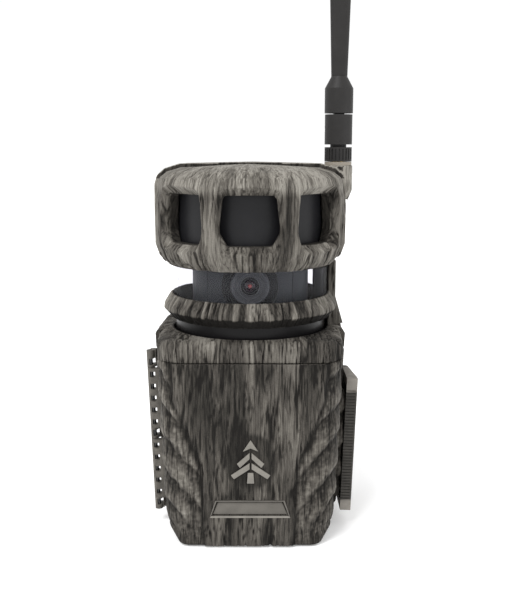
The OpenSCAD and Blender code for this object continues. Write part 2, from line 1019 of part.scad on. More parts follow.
// Coaxial lead: from the connector down the pillar to the radio on the main board
lead_route = [
    [43.6, 9.6, 166.3], [43, 9, 163], [41.4, 7, 157], [40.55, 5.7, 150], [40.55, 5.7, 140],
    [40.55, 5.7, 128], [40.55, 5.7, 116], [40.55, 5.7, 104], [40.5, 6.2, 95], [39.6, 9.5, 89],
    [38, 15, 84], [35, 21, 80], [30.5, 25.8, 77.5], [26.5, 28.8, 73.5], [24, 29.4, 68], [21, 29.4, 63]
];

module antenna_lead() {
    color(black_plastic)
        swept_lead(lead_route, 0.56);
}

module spine_cable() {
    color([0.70, 0.70, 0.72])
        sector(41.1, 41.4, 91, pir_low + 0.6, 12, 18);
}

module antenna_nut() {
    color(black_plastic)
        at_antenna(0)
            difference() {
                translate([0, 0, nut_low])
                    cylinder(r = 6.75, h = nut_high - nut_low);
                translate([0, 0, nut_low - 1])
                    cylinder(r = 3.1 + run_fit, h = 10);
                translate([0, 0, 184])
                    cylinder(r = 5.2, h = 2.2);
                translate([0, 0, 185])
                    cylinder(r = 4 + run_fit, h = 5);
                for (a = [0:15:345])
                    rotate([0, 0, a])
                        box([6.35, -0.3, nut_low + 0.8], [8, 0.3, nut_high - 0.8]);
            }
}

module antenna_knuckle() {
    color(black_plastic)
        at_antenna(0)
            difference() {
                union() {
                    translate([0, 0, knuckle_low])
                        cylinder(r = knuckle_r, h = knuckle_high - knuckle_low);
                    translate([0, 0, 184.4])
                        cylinder(r = 4, h = 5);
                    translate([0, 0, 184.4])
                        cylinder(r = 5, h = 1.5);
                }
                box([-tongue_hw - 0.3, -4.8, hinge_z - 4.8], [tongue_hw + 0.3, 20, knuckle_high + 1]);
                difference() {
                    box([-20, 0, hinge_z], [20, 20, knuckle_high + 5]);
                    translate([-21, 0, hinge_z])
                        rotate([0, 90, 0])
                            cylinder(r = 7.5, h = 42);
                }
                translate([-10, 0, hinge_z])
                    rotate([0, 90, 0])
                        cylinder(r = 1.5, h = 20);
            }
}

module antenna_pin() {
    color(steel)
        at_antenna(hinge_z)
            translate([-6.3, 0, 0])
                rotate([0, 90, 0])
                    cylinder(r = 1.5, h = 12.6);
}

module antenna_whip() {
    color(black_plastic)
        at_antenna(0)
            difference() {
                union() {
                    translate([-tongue_hw, 0, hinge_z])
                        rotate([0, 90, 0])
                            cylinder(r = 4.2, h = 2 * tongue_hw);
                    box([-tongue_hw, -4.2, hinge_z], [tongue_hw, 4.2, whip_low + 1]);
                    translate([0, 0, whip_low])
                        cylinder(r = bell_r, h = 12);
                    translate([0, 0, whip_low + 12 - eps])
                        cylinder(r1 = bell_r, r2 = 3.85, h = 5.8);
                    whip_blade();
                }
                translate([-10, 0, hinge_z])
                    rotate([0, 90, 0])
                        cylinder(r = 1.5 + run_fit, h = 20);
            }
}

// Flat blade of the whip: a slim neck that widens slowly to a rounded tip
module whip_blade() {
    hull() {
        for (s = [-1, 1]) {
            translate([s * 1.6, 0, whip_low + 15])
                cylinder(r = 2.3, h = 2, $fn = 32);
            translate([s * 3.4, 0, antenna_top - 20])
                sphere(r = 2.3, $fn = 32);
            translate([s * 2.4, 0, antenna_top - 2])
                sphere(r = 2, $fn = 32);
        }
    }
}

// ---- Controls ----

key_places = [
    [key_x, key_z + key_gap], [key_x, key_z - key_gap], [key_x - key_gap, key_z],
    [key_x + key_gap, key_z], [key_x, key_z]
];

module control_panel() {
    color([0.16, 0.16, 0.17]) difference() {
        box([-panel_hw, chassis_front - panel_t, panel_low], [panel_hw, chassis_front, panel_high]);
        box([-31, chassis_front - 5, 61.5], [4, chassis_front + 1, 82.5]);
        for (p = key_places)
            translate([p[0], chassis_front + 1, p[1]])
                rotate([90, 0, 0])
                    cylinder(r = key_r + 0.3, h = 5);
        box([knob_x - 0.3, chassis_front - 5, knob_z - 1.6], [knob_x + 8, chassis_front + 1, knob_z + 1.6]);
        box([card_x - 0.3, chassis_front - 5, card_z - 0.3], [card_x + 24.3, chassis_front + 1, card_z + 2.4]);
    }
}

module screen() {
    color([0.05, 0.06, 0.09])
        box([-30.9, chassis_front - panel_t + 0.3, 61.6], [3.9, chassis_front + 2.4, 82.4]);
}

module key(place) {
    color([0.55, 0.56, 0.58])
        translate([place[0], chassis_front + 0.3, place[1]])
            rotate([90, 0, 0])
                union() {
                    cylinder(r = key_r, h = panel_t + 1.5);
                    translate([0, 0, -1])
                        cylinder(r = key_r + 0.7, h = 1);
                }
}

module key_up() { key(key_places[0]); }
module key_down() { key(key_places[1]); }
module key_left() { key(key_places[2]); }
module key_right() { key(key_places[3]); }
module key_ok() { key(key_places[4]); }

module power_knob() {
    color([0.80, 0.36, 0.14])
        box([knob_x, chassis_front - panel_t - 1.2, knob_z - 1.3], [knob_x + 3.6, chassis_front + 1, knob_z + 1.3]);
}

module panel_board() {
    color(board_green)
        box([-31.4, chassis_front + 3.2, 60.7], [31.4, chassis_front + 3.2 + board_t, 83]);
}

module sd_card() {
    color([0.10, 0.14, 0.24])
        box([card_x, chassis_front - 0.6, card_z], [card_x + 24, chassis_front + 31.4, card_z + 2.1]);
}

// ---- Power ----

module battery_tray() {
    color([0.20, 0.20, 0.21]) difference() {
        union() {
            box([-bay_hw + 0.5, chassis_front + 0.4, bay_low + 0.3], [bay_hw - 0.5, bay_rear - 0.6, bay_high - 0.3]);
            box([-8, chassis_front - 1.4, 28], [8, chassis_front + 0.6, 30]);
        }
        box([-30.3, -36, 8.8], [30.3, bay_rear - 2, bay_high + 1]);
    }
}

module battery_cells() {
    color([0.20, 0.34, 0.62])
        for (x = cell_cols, z = cell_rows)
            translate([x, cell_front, z])
                rotate([-90, 0, 0])
                    union() {
                        cylinder(r = cell_r, h = cell_l - 1.4);
                        cylinder(r = 2.7, h = cell_l);
                    }
}

module contact_springs() {
    color(steel)
        for (x = cell_cols, z = cell_rows) {
            translate([x, -36, z])
                rotate([-90, 0, 0])
                    cylinder(r = 3.2, h = 1.5);
            translate([x, cell_front + cell_l, z])
                rotate([-90, 0, 0])
                    cylinder(r = 4.6, h = bay_rear - 2 - cell_front - cell_l);
        }
}

module main_board() {
    color(board_green) difference() {
        union() {
            box([-36, board_y, 8], [36, board_y + board_t, 72]);
            box([-18, board_y + board_t - eps, 40], [-2, board_y + board_t + 2.2, 56]);
            box([4, board_y + board_t - eps, 48], [24, board_y + board_t + 2.6, 66]);
            box([-12, board_y + board_t - eps, 16], [6, board_y + board_t + 1.6, 30]);
        }
        for (p = board_posts)
            translate([p[0], board_y - 1, p[1]])
                rotate([-90, 0, 0])
                    cylinder(r = screw_r, h = 4);
    }
}

module dc_jack() {
    color(black_plastic) difference() {
        box([jack_x - 4.6, jack_y - 5, wall], [jack_x + 4.6, jack_y + 5, wall + 11]);
        translate([jack_x, jack_y, wall - 1])
            cylinder(r = 2.85, h = 10);
    }
}

module port_plug() {
    color(rubber)
        union() {
            box([jack_x - 6.5, jack_y - 5.5, 0.3], [jack_x + 6.5, jack_y + 5.5, 1.4]);
            translate([jack_x, jack_y, 1.4 - eps])
                cylinder(r = 2.6, h = 5);
        }
}

module tripod_insert() {
    color(brass) difference() {
        cylinder(r = insert_r, h = insert_h);
        translate([0, 0, -1])
            cylinder(r = thread_r, h = insert_h + 2);
    }
}

// ---- Fastening ----

module strap_bracket() {
    y0 = body_rear;
    y1 = body_rear + strap_gap;
    color(trim_grey) difference() {
        union() {
            box([-26, y1, 21], [26, y1 + bracket_t, 75]);
            for (z = [21, 66])
                box([-26, y0, z], [26, y1 + eps, z + 9]);
            for (s = [-1, 1], z = [23:5.2:70])
                translate([s * 24.5, y1 + bracket_t - eps, z + 2])
                    rotate([-90, 0, 0])
                        cylinder(r1 = 1.4, r2 = 0.3, h = 2.4);
        }
        for (p = bracket_screws)
            translate([p[0], y0 - 1, p[1]])
                rotate([-90, 0, 0])
                    cylinder(r = screw_r, h = 20);
        for (p = bracket_screws)
            translate([p[0], y1, p[1]])
                rotate([-90, 0, 0])
                    cylinder(r = 2.6, h = 20);
    }
}

// Self-tapping screw along +Z, its head's underside at the origin
module screw(length) {
    translate([0, 0, -length])
        cylinder(r = screw_r, h = length);
    difference() {
        cylinder(r = 2.3, h = 1.6);
        translate([0, 0, 0.7])
            cylinder(r = 0.9, h = 2, $fn = 6);
    }
}

module screws() {
    color(steel)
        union() {
            for (p = bracket_screws)
                translate([p[0], body_rear + strap_gap, p[1]])
                    rotate([-90, 0, 0])
                        screw(7.2);
            for (p = board_posts)
                translate([p[0], board_y, p[1]])
                    rotate([90, 0, 0])
                        screw(6);
            for (a = deck_screw_angles)
                rotate([0, 0, a])
                    translate([deck_screw_r, 0, deck_z - deck_t])
                        rotate([180, 0, 0])
                            screw(3.4);
        }
}

rear_housing();
shoulder_frame();
spine_cover();
trim_ring();
base_deck();
inner_chassis();
front_door();
door_gasket();
hinge_pin();
latch();
latch_pin();
ir_window();
led_board();
clear_dome();
dome_seals();
turret_drum();
turret_gear();
lens_plate();
lens_bezel();
lens_barrel();
lens_glass();
sensor_board();
turret_motor();
motor_shaft();
motor_pinion();
lens_flex();
head_base();
pir_lens();
pir_carrier();
pir_sensors();
pir_board();
front_hood();
rear_shell();
antenna_connector();
antenna_gasket();
antenna_lead();
spine_cable();
antenna_nut();
antenna_knuckle();
antenna_pin();
antenna_whip();
control_panel();
screen();
key_up();
key_down();
key_left();
key_right();
key_ok();
power_knob();
panel_board();
sd_card();
battery_tray();
battery_cells();
contact_springs();
main_board();
dc_jack();
port_plug();
tripod_insert();
strap_bracket();
screws();
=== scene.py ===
import json
import math

import bmesh
import bpy
import numpy as np
from mathutils import Matrix, Vector


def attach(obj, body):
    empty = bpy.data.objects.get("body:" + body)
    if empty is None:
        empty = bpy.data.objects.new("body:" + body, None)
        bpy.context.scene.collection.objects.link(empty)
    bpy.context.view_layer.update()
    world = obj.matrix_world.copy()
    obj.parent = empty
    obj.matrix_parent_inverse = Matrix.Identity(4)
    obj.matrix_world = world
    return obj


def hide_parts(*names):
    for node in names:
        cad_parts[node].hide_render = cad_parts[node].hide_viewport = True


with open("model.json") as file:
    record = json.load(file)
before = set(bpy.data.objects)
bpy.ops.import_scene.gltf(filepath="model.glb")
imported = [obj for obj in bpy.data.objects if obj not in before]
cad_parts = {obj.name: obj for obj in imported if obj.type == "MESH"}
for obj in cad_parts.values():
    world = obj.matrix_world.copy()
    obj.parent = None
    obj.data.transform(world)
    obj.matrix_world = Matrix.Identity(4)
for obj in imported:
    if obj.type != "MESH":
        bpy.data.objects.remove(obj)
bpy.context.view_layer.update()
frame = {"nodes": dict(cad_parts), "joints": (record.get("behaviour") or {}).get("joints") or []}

MM = 0.001
NODES = frame["nodes"]


# ---- Sizes, in millimetres ----

def span(node, axis):
    """(lowest, highest) place of a CAD node along an axis, to a tenth of a millimetre."""
    mesh = NODES[node].data
    co = np.empty(len(mesh.vertices) * 3)
    mesh.vertices.foreach_get("co", co)
    along = co[axis::3] / MM
    return round(float(along.min()), 1), round(float(along.max()), 1)


# Read from the frame: the lower body's top and back, the door's joint and the lens.
SEAM_Z = span("rear_housing", 2)[1]
BODY_REAR = span("rear_housing", 1)[1]
DOOR_Y = next(round(j["pos_m"][1] / MM, 1) for j in frame["joints"] if j["name"] == "door_hinge")
LENS_Z = round(sum(span("lens_glass", 2)) / 2, 1)

# As in the CAD source: the walls' half widths at foot and seam, which the knuckles hide in the
# frame, the front's distance and slope, the corner radii, the door's step and draw, the top of
# the shoulder, how far the door's raised middle stands out, and the name plate's height.
FOOT_HW, SEAM_HW = 43.3, 46.6
TAPER = (SEAM_HW - FOOT_HW) / SEAM_Z
TILT = math.atan(TAPER)
FRONT_FOOT, FRONT_SLOPE = 43.2, 0.016
FRONT_CORNER, REAR_CORNER = 12.0, 9.0
DOOR_STEP, DOOR_DRAW = 2.0, 1.2
DRAW_FROM, DRAW_OVER = -5.0, 26.2
SHOULDER_Z = 99.0
PANEL_PROUD = 1.2
LABEL_Z = 19.8

# For the looks alone: the door's emblem with the bed round it, half sizes of the name plate's
# slot, and how far from the turret's axis the bark of the ring and the shoulder starts.
MOTIF_X, MOTIF_Z, MOTIF_BED_R = 0.3, 43.1, 12.2
SLOT_HW, SLOT_HH = 19.2, 4.4
BED_FRONT, SLOT_FRONT = -30, -38
BARK_FROM_R = 38.8

# Depths that a skin function gives: of a point that is surely skin, and of one that never is.
AT_SKIN, BURIED = 0.3, 9.0
LEFT, RIGHT = -1, 1


def side_x(z):
    """The tapered side wall's distance from the middle at height z."""
    return FOOT_HW + TAPER * z


def front_y(z):
    """The front wall's distance from the turret's axis at height z."""
    return FRONT_FOOT + FRONT_SLOPE * z


# ---- Noise: deterministic gradient noise on arrays of points ----

def lattice(i, j, k, seed):
    """One repeatable 32-bit value for each lattice point."""
    h = (i * np.uint32(374761393)) ^ (j * np.uint32(668265263)) ^ (k * np.uint32(2147483647))
    h = (h + np.uint32(seed * 974634777 % 4294967296)).astype(np.uint32)
    h = (h ^ (h >> np.uint32(13))) * np.uint32(1274126177)
    return h ^ (h >> np.uint32(16))


def noise(p, seed, scale=(1.0, 1.0, 1.0)):
    """Gradient noise, about -1 to 1, at points p in millimetres times scale."""
    q = p * np.asarray(scale)
    base = np.floor(q).astype(np.int64)
    f = q - base
    fade = f * f * f * (f * (f * 6.0 - 15.0) + 10.0)
    total = np.zeros(len(p))
    for dx in (0, 1):
        for dy in (0, 1):
            for dz in (0, 1):
                i, j, k = [(base[:, a] + d).astype(np.uint32) for a, d in enumerate((dx, dy, dz))]
                h = lattice(i, j, k, seed)
                gx = ((h & np.uint32(1023)).astype(float) / 511.5) - 1.0
                gy = (((h >> np.uint32(10)) & np.uint32(1023)).astype(float) / 511.5) - 1.0
                gz = (((h >> np.uint32(20)) & np.uint32(1023)).astype(float) / 511.5) - 1.0
                w = np.abs(1 - dx - fade[:, 0]) * np.abs(1 - dy - fade[:, 1]) * np.abs(1 - dz - fade[:, 2])
                total += w * (gx * (f[:, 0] - dx) + gy * (f[:, 1] - dy) + gz * (f[:, 2] - dz))
    return np.clip(total * 1.6, -1.0, 1.0)


def smooth_step(a, b, x):
    """0 before a, 1 past b, and a smooth rise between them."""
    t = np.clip((x - a) / (b - a), 0.0, 1.0)
    return t * t * (3.0 - 2.0 * t)


# ---- Bark: one field of relief and tone shared by every camouflage moulding ----

def bark(p, seed=0):
    """(relief in mm, tone from 0 to 1) at points p in mm: long fibres, cracks and worn streaks."""
    bend = np.stack([
        1.6 * noise(p, seed + 1, (0.09, 0.09, 0.035)),
        1.6 * noise(p, seed + 2, (0.09, 0.09, 0.035)),
        np.zeros(len(p)),
    ], axis=1)
    q = p + bend
    fibre = noise(q, seed + 3, (1.15, 1.15, 0.075))
    cords = noise(q, seed + 4, (0.36, 0.36, 0.022))
    cords2 = noise(q, seed + 5, (0.70, 0.70, 0.045))
    where = smooth_step(-0.30, 0.10, noise(q, seed + 6, (0.13, 0.13, 0.035)))
    where2 = smooth_step(-0.10, 0.25, noise(q, seed + 7, (0.20, 0.20, 0.05)))
    crack = np.exp(-((cords / 0.075) ** 2)) * where
    crack2 = np.exp(-((cords2 / 0.10) ** 2)) * where2
    streak = noise(q, seed + 8, (0.17, 0.17, 0.015))
    patch = noise(p, seed + 9, (0.050, 0.050, 0.024))
    relief = 0.09 * fibre + 0.24 * streak - 0.62 * crack - 0.34 * crack2
    tone = 0.52 + 0.36 * streak + 0.14 * fibre - 0.52 * crack - 0.32 * crack2 + 0.24 * patch
    return relief, np.clip(tone, 0.0, 1.0)


def axis_distance(p):
    """How far points lie from the turret's axis."""
    return np.hypot(p[:, 0], p[:, 1])


def round_grain(p):
    """Where points of the round mouldings lie in the bark: round the axis, and up it."""
    around = np.arctan2(p[:, 0], -p[:, 1])
    wrap_radius = 43.0
    return np.stack([around * wrap_radius, 0.25 * axis_distance(p), p[:, 2]], axis=1)


def box_grain(p):
    """Where points of the square body lie in the bark: streaks run up the walls and over the shoulder."""
    x, y = p[:, 0], p[:, 1]
    full = np.maximum(smooth_step(33.0, 42.0, np.abs(x)), smooth_step(-20.0, 5.0, y))
    return np.stack([x, 0.12 * y + 0.88 * full * np.maximum(y + 38.0, 0.0), p[:, 2]], axis=1)


# ---- Meshes ----

def link(name, data):
    """A new object in the scene that holds data."""
    obj = bpy.data.objects.new(name, data)
    bpy.context.scene.collection.objects.link(obj)
    return obj


def new_object(name, verts, faces):
    """A new object from corners in metres and faces."""
    mesh = bpy.data.meshes.new(name)
    mesh.from_pydata([tuple(v) for v in verts], [], [tuple(f) for f in faces])
    mesh.validate()
    return link(name, mesh)


def copy_of(node, name):
    """A free copy of a CAD node's mesh, welded."""
    mesh = NODES[node].data.copy()
    mesh.materials.clear()
    bm = bmesh.new()
    bm.from_mesh(mesh)
    bmesh.ops.remove_doubles(bm, verts=bm.verts, dist=1e-6)
    bm.to_mesh(mesh)
    bm.free()
    return link(name, mesh)


def face_outward(obj):
    """Turns every face of a closed mesh outward."""
    bm = bmesh.new()
    bm.from_mesh(obj.data)
    bmesh.ops.recalc_face_normals(bm, faces=bm.faces)
    bm.to_mesh(obj.data)
    bm.free()


def apply_modifiers(obj):
    """Bakes obj's modifiers into its mesh."""
    graph = bpy.context.evaluated_depsgraph_get()
    mesh = bpy.data.meshes.new_from_object(obj.evaluated_get(graph))
    old = obj.data
    obj.modifiers.clear()
    obj.data = mesh
    mesh.name = obj.name
    bpy.data.meshes.remove(old)


def block(name, low, high, matrix=None):
    """A helper box for cutting, between two corners in mm of the frame that matrix gives."""
    (x0, y0, z0), (x1, y1, z1) = low, high
    corners = [(x, y, z) for z in (z0, z1) for y in (y0, y1) for x in (x0, x1)]
    verts = [Vector(c) for c in corners]
    if matrix is not None:
        verts = [matrix @ v for v in verts]
    faces = [(0, 2, 3, 1), (4, 5, 7, 6), (0, 1, 5, 4), (2, 6, 7, 3), (0, 4, 6, 2), (1, 3, 7, 5)]
    obj = new_object(name, [v * MM for v in verts], faces)
    face_outward(obj)
    return obj


def cut(obj, tool, operation="DIFFERENCE"):
    """Cuts obj with tool, or keeps what lies in both, and deletes tool."""
    mod = obj.modifiers.new("cut", "BOOLEAN")
    mod.operation = operation
    mod.object = tool
    mod.solver = "EXACT"
    apply_modifiers(obj)
    bpy.data.objects.remove(tool, do_unlink=True)


def soften(obj, width, segments, limit=30):
    """Bevels the edges of obj that turn by more than limit degrees."""
    bevel = obj.modifiers.new("bevel", "BEVEL")
    bevel.width = width * MM
    bevel.segments = segments
    bevel.limit_method = "ANGLE"
    bevel.angle_limit = math.radians(limit)
    apply_modifiers(obj)


def side_matrix(side):
    """The frame that lies along a tapered side: X out of the wall, Z up the wall."""
    m = Matrix.Translation((FOOT_HW, 0, 0)) @ Matrix.Rotation(TILT, 4, "Y")
    return m if side == RIGHT else Matrix.Scale(-1, 4, (1, 0, 0)) @ m


def remesh(obj, cell):
    """Even quads of about cell mm over the whole of obj."""
    mod = obj.modifiers.new("remesh", "REMESH")
    mod.mode = "VOXEL"
    mod.voxel_size = cell * MM
    apply_modifiers(obj)


def shade(obj, angle=None):
    """Smooth shading, but sharp where faces meet at more than angle degrees."""
    mesh = obj.data
    mesh.polygons.foreach_set("use_smooth", [True] * len(mesh.polygons))
    if angle is not None:
        mesh.set_sharp_from_angle(angle=math.radians(angle))
    mesh.update()


def points_of(obj):
    """(vertices in mm, normals) as arrays."""
    mesh = obj.data
    n = len(mesh.vertices)
    co = np.empty(n * 3)
    mesh.vertices.foreach_get("co", co)
    no = np.empty(n * 3)
    mesh.vertices.foreach_get("normal", no)
    return co.reshape(-1, 3) / MM, no.reshape(-1, 3)


def write_points(obj, p):
    """Moves the vertices to points in mm."""
    obj.data.vertices.foreach_set("co", (p * MM).ravel())
    obj.data.update()


def write_tone(obj, values):
    """Stores the bark's tone on the vertices, for the camouflage material."""
    layer = obj.data.attributes.new("tone", "FLOAT", "POINT")
    layer.data.foreach_set("value", np.clip(values, 0.0, 1.0).astype(np.float32))


def write_grain(obj, q):
    """Stores where each vertex lies in the bark, for the camouflage material."""
    layer = obj.data.attributes.new("grain", "FLOAT_VECTOR", "POINT")
    layer.data.foreach_set("vector", (q * MM).astype(np.float32).ravel())


# ---- Materials ----

def grey(value):
    return (value, value, value)


def material(name):
    """(material, its node tree, its main shader)."""
    mat = bpy.data.materials.new(name)
    mat.use_nodes = True
    tree = mat.node_tree
    return mat, tree, tree.nodes["Principled BSDF"]


def node_of(tree, kind, **values):
    """A new shader node of a kind, with its settings."""
    n = tree.nodes.new(kind)
    for key, value in values.items():
        setattr(n, key, value)
    return n


def coordinates(tree, scale=(1.0, 1.0, 1.0), grain=None):
    """Coordinates in mm times scale: the object's own, or those a named attribute holds."""
    if grain is None:
        source = node_of(tree, "ShaderNodeTexCoord").outputs["Object"]
    else:
        source = node_of(tree, "ShaderNodeAttribute", attribute_name=grain).outputs["Vector"]
    mapping = node_of(tree, "ShaderNodeMapping")
    mapping.inputs["Scale"].default_value = [s / MM for s in scale]
    tree.links.new(source, mapping.inputs["Vector"])
    return mapping.outputs["Vector"]


def noise_node(tree, scale, detail=3.0, rough=0.55, stretch=(1.0, 1.0, 1.0), distortion=0.0, grain=None):
    """A noise texture of scale waves to the millimetre, stretched along the axes."""
    n = node_of(tree, "ShaderNodeTexNoise")
    n.inputs["Scale"].default_value = scale
    n.inputs["Detail"].default_value = detail
    n.inputs["Roughness"].default_value = rough
    n.inputs["Distortion"].default_value = distortion
    tree.links.new(coordinates(tree, stretch, grain), n.inputs["Vector"])
    return n.outputs["Fac"]


def ramp(tree, source, stops):
    """Source turned into the colours of stops, which are (position, colour) pairs."""
    r = node_of(tree, "ShaderNodeValToRGB")
    elements = r.color_ramp.elements
    while len(elements) < len(stops):
        elements.new(0.5)
    for e, (pos, colour) in zip(elements, stops):
        e.position = pos
        e.color = (*colour, 1.0)
    tree.links.new(source, r.inputs["Fac"])
    return r.outputs["Color"]


def maths(tree, op, a, b=0.0):
    """One sum on two inputs, each a node's output or a number."""
    n = node_of(tree, "ShaderNodeMath", operation=op)
    for i, v in enumerate((a, b)):
        if hasattr(v, "is_output"):
            tree.links.new(v, n.inputs[i])
        else:
            n.inputs[i].default_value = v
    return n.outputs["Value"]


def bump(tree, bsdf, height, strength, distance_mm):
    """Fine relief in the shading, from a texture's height."""
    b = node_of(tree, "ShaderNodeBump")
    b.inputs["Strength"].default_value = strength
    b.inputs["Distance"].default_value = distance_mm * MM
    tree.links.new(height, b.inputs["Height"])
    tree.links.new(b.outputs["Normal"], bsdf.inputs["Normal"])


BARK_STOPS = [
    (0.02, (0.008, 0.007, 0.006)), (0.22, (0.021, 0.019, 0.016)), (0.42, (0.048, 0.043, 0.037)),
    (0.62, (0.094, 0.086, 0.074)), (0.86, (0.175, 0.163, 0.142)), (1.0, (0.250, 0.236, 0.208)),
]


def camo_material():
    """Moulded bark: the tone of the carved relief, with fine fibre, hair cracks and speckle over it."""
    mat, tree, bsdf = material("camo_bark")
    tone = node_of(tree, "ShaderNodeAttribute", attribute_name="tone").outputs["Fac"]
    fine = noise_node(tree, 1.7, 4.0, 0.62, (1.0, 1.0, 0.10), 0.0, "grain")
    speck = noise_node(tree, 2.2, 2.0, 0.6)
    split = noise_node(tree, 0.62, 2.5, 0.55, (1.0, 1.0, 0.055), 0.35, "grain")
    away = maths(tree, "ABSOLUTE", maths(tree, "SUBTRACT", split, 0.5))
    hair = ramp(tree, away, [(0.0, grey(1.0)), (0.045, grey(0.0))])
    total = tone
    for texture, share in ((fine, 0.60), (speck, 0.26)):
        centred = maths(tree, "SUBTRACT", texture, 0.5)
        total = maths(tree, "ADD", total, maths(tree, "MULTIPLY", centred, share))
    total = maths(tree, "SUBTRACT", total, maths(tree, "MULTIPLY", hair, 0.26))
    tree.links.new(ramp(tree, total, BARK_STOPS), bsdf.inputs["Base Color"])
    rough = ramp(tree, total, [(0.0, grey(0.88)), (1.0, grey(0.62))])
    tree.links.new(rough, bsdf.inputs["Roughness"])
    bsdf.inputs["Specular IOR Level"].default_value = 0.20
    bump(tree, bsdf, total, 0.85, 0.24)
    return mat


def plastic(name, colour, rough=0.5, grain=3.0, strength=0.25, spread=0.18, specular=0.45):
    """Moulded plastic with a spark-eroded grain and slight blotches."""
    mat, tree, bsdf = material(name)
    dark = [c * (1.0 - spread) for c in colour]
    light = [min(c * (1.0 + spread), 1.0) for c in colour]
    blotch = noise_node(tree, 0.16, 3.0, 0.6)
    tree.links.new(ramp(tree, blotch, [(0.30, dark), (0.70, light)]), bsdf.inputs["Base Color"])
    texture = noise_node(tree, grain, 2.0, 0.6)
    worn = [(0.2, grey(rough * 0.85)), (0.8, grey(min(rough * 1.2, 1.0)))]
    tree.links.new(ramp(tree, texture, worn), bsdf.inputs["Roughness"])
    bsdf.inputs["Specular IOR Level"].default_value = specular
    if strength > 0.0:
        bump(tree, bsdf, texture, strength, 0.06)
    return mat


def object_axes(tree):
    """The X, Y and Z outputs of the object's own coordinates, in metres."""
    split = node_of(tree, "ShaderNodeSeparateXYZ")
    tree.links.new(node_of(tree, "ShaderNodeTexCoord").outputs["Object"], split.inputs["Vector"])
    return split.outputs


def by_height(mat, low, high, stops):
    """Multiplies a material's colour by stops between two heights in mm."""
    tree = mat.node_tree
    t = maths(tree, "DIVIDE", maths(tree, "SUBTRACT", object_axes(tree)["Z"], low * MM), (high - low) * MM)
    tint = node_of(tree, "ShaderNodeMix", data_type="RGBA", blend_type="MULTIPLY")
    tint.inputs["Factor"].default_value = 1.0
    base = tree.nodes["Principled BSDF"].inputs["Base Color"]
    tree.links.new(base.links[0].from_socket, tint.inputs["A"])
    tree.links.new(ramp(tree, t, stops), tint.inputs["B"])
    tree.links.new(tint.outputs["Result"], base)
    return mat


def by_radius(name, reach, stops, rough=0.3, coat=0.0):
    """Rings of colour round the lens axis, out to reach mm."""
    mat, tree, bsdf = material(name)
    axes = object_axes(tree)
    dx = axes["X"]
    dz = maths(tree, "SUBTRACT", axes["Z"], LENS_Z * MM)
    square = maths(tree, "ADD", maths(tree, "MULTIPLY", dx, dx), maths(tree, "MULTIPLY", dz, dz))
    r = maths(tree, "DIVIDE", maths(tree, "POWER", square, 0.5), reach * MM)
    tree.links.new(ramp(tree, r, stops), bsdf.inputs["Base Color"])
    bsdf.inputs["Roughness"].default_value = rough
    bsdf.inputs["Coat Weight"].default_value = coat
    bsdf.inputs["Specular IOR Level"].default_value = 0.35
    return mat


def metal(name, colour, rough=0.3):
    """Bare metal with fine scratches."""
    mat, tree, bsdf = material(name)
    bsdf.inputs["Metallic"].default_value = 1.0
    scratch = noise_node(tree, 1.2, 4.0, 0.7, (1.0, 1.0, 6.0))
    tree.links.new(ramp(tree, scratch, [(0.3, [c * 0.85 for c in colour]), (0.7, colour)]),
                   bsdf.inputs["Base Color"])
    tree.links.new(ramp(tree, scratch, [(0.3, grey(rough * 0.7)), (0.7, grey(rough * 1.4))]),
                   bsdf.inputs["Roughness"])
    bump(tree, bsdf, scratch, 0.12, 0.04)
    return mat


def clear_material():
    """Polished clear plastic: seen through where it faces the eye, bright at grazing angles."""
    mat, tree, bsdf = material("clear_polycarbonate")
    haze = noise_node(tree, 0.05, 2.0, 0.5)
    tree.links.new(ramp(tree, haze, [(0.3, (0.80, 0.81, 0.83)), (0.7, (0.88, 0.89, 0.90))]),
                   bsdf.inputs["Base Color"])
    bsdf.inputs["Roughness"].default_value = 0.05
    facing = node_of(tree, "ShaderNodeLayerWeight")
    facing.inputs["Blend"].default_value = 0.35
    amount = ramp(tree, facing.outputs["Facing"],
                  [(0.0, grey(0.010)), (0.55, grey(0.016)), (0.88, grey(0.10)), (1.0, grey(0.42))])
    through = node_of(tree, "ShaderNodeBsdfTransparent")
    through.inputs["Color"].default_value = (0.915, 0.912, 0.928, 1.0)
    mix = node_of(tree, "ShaderNodeMixShader")
    tree.links.new(amount, mix.inputs[0])
    tree.links.new(through.outputs[0], mix.inputs[1])
    tree.links.new(bsdf.outputs[0], mix.inputs[2])
    tree.links.new(mix.outputs[0], tree.nodes["Material Output"].inputs["Surface"])
    return mat


def board_material():
    """Green circuit board with paler tracks."""
    mat, tree, bsdf = material("circuit_board")
    tracks = noise_node(tree, 0.35, 1.0, 0.3, (1.0, 1.0, 0.25))
    resist, copper = (0.012, 0.10, 0.045), (0.02, 0.16, 0.075)
    tree.links.new(ramp(tree, tracks, [(0.46, resist), (0.50, copper), (0.54, resist)]),
                   bsdf.inputs["Base Color"])
    bsdf.inputs["Roughness"].default_value = 0.32
    bump(tree, bsdf, tracks, 0.2, 0.05)
    return mat


BEZEL_R, LENS_R = 10.0, 3.4

# Painted shading and painted highlight rings on the bezel's conical faces.
BEZEL_SHADING_RINGS = [
    (0.30, (0.012, 0.012, 0.014)), (0.37, (0.20, 0.21, 0.23)), (0.43, (0.16, 0.17, 0.19)),
    (0.47, (0.045, 0.048, 0.054)), (0.60, (0.062, 0.066, 0.074)), (0.64, (0.036, 0.039, 0.044)),
    (0.80, (0.055, 0.059, 0.066)), (0.86, (0.085, 0.090, 0.10)), (0.93, (0.045, 0.048, 0.054)),
]

# Painted reflection: the lens's red centre spot and tinted rings stand in for reflections in its coating.
LENS_REFLECTION_RINGS = [
    (0.0, (0.45, 0.03, 0.03)), (0.20, (0.20, 0.010, 0.012)), (0.36, (0.010, 0.005, 0.008)),
    (0.62, (0.035, 0.018, 0.030)), (0.80, (0.012, 0.010, 0.016)), (1.0, (0.05, 0.05, 0.06)),
]
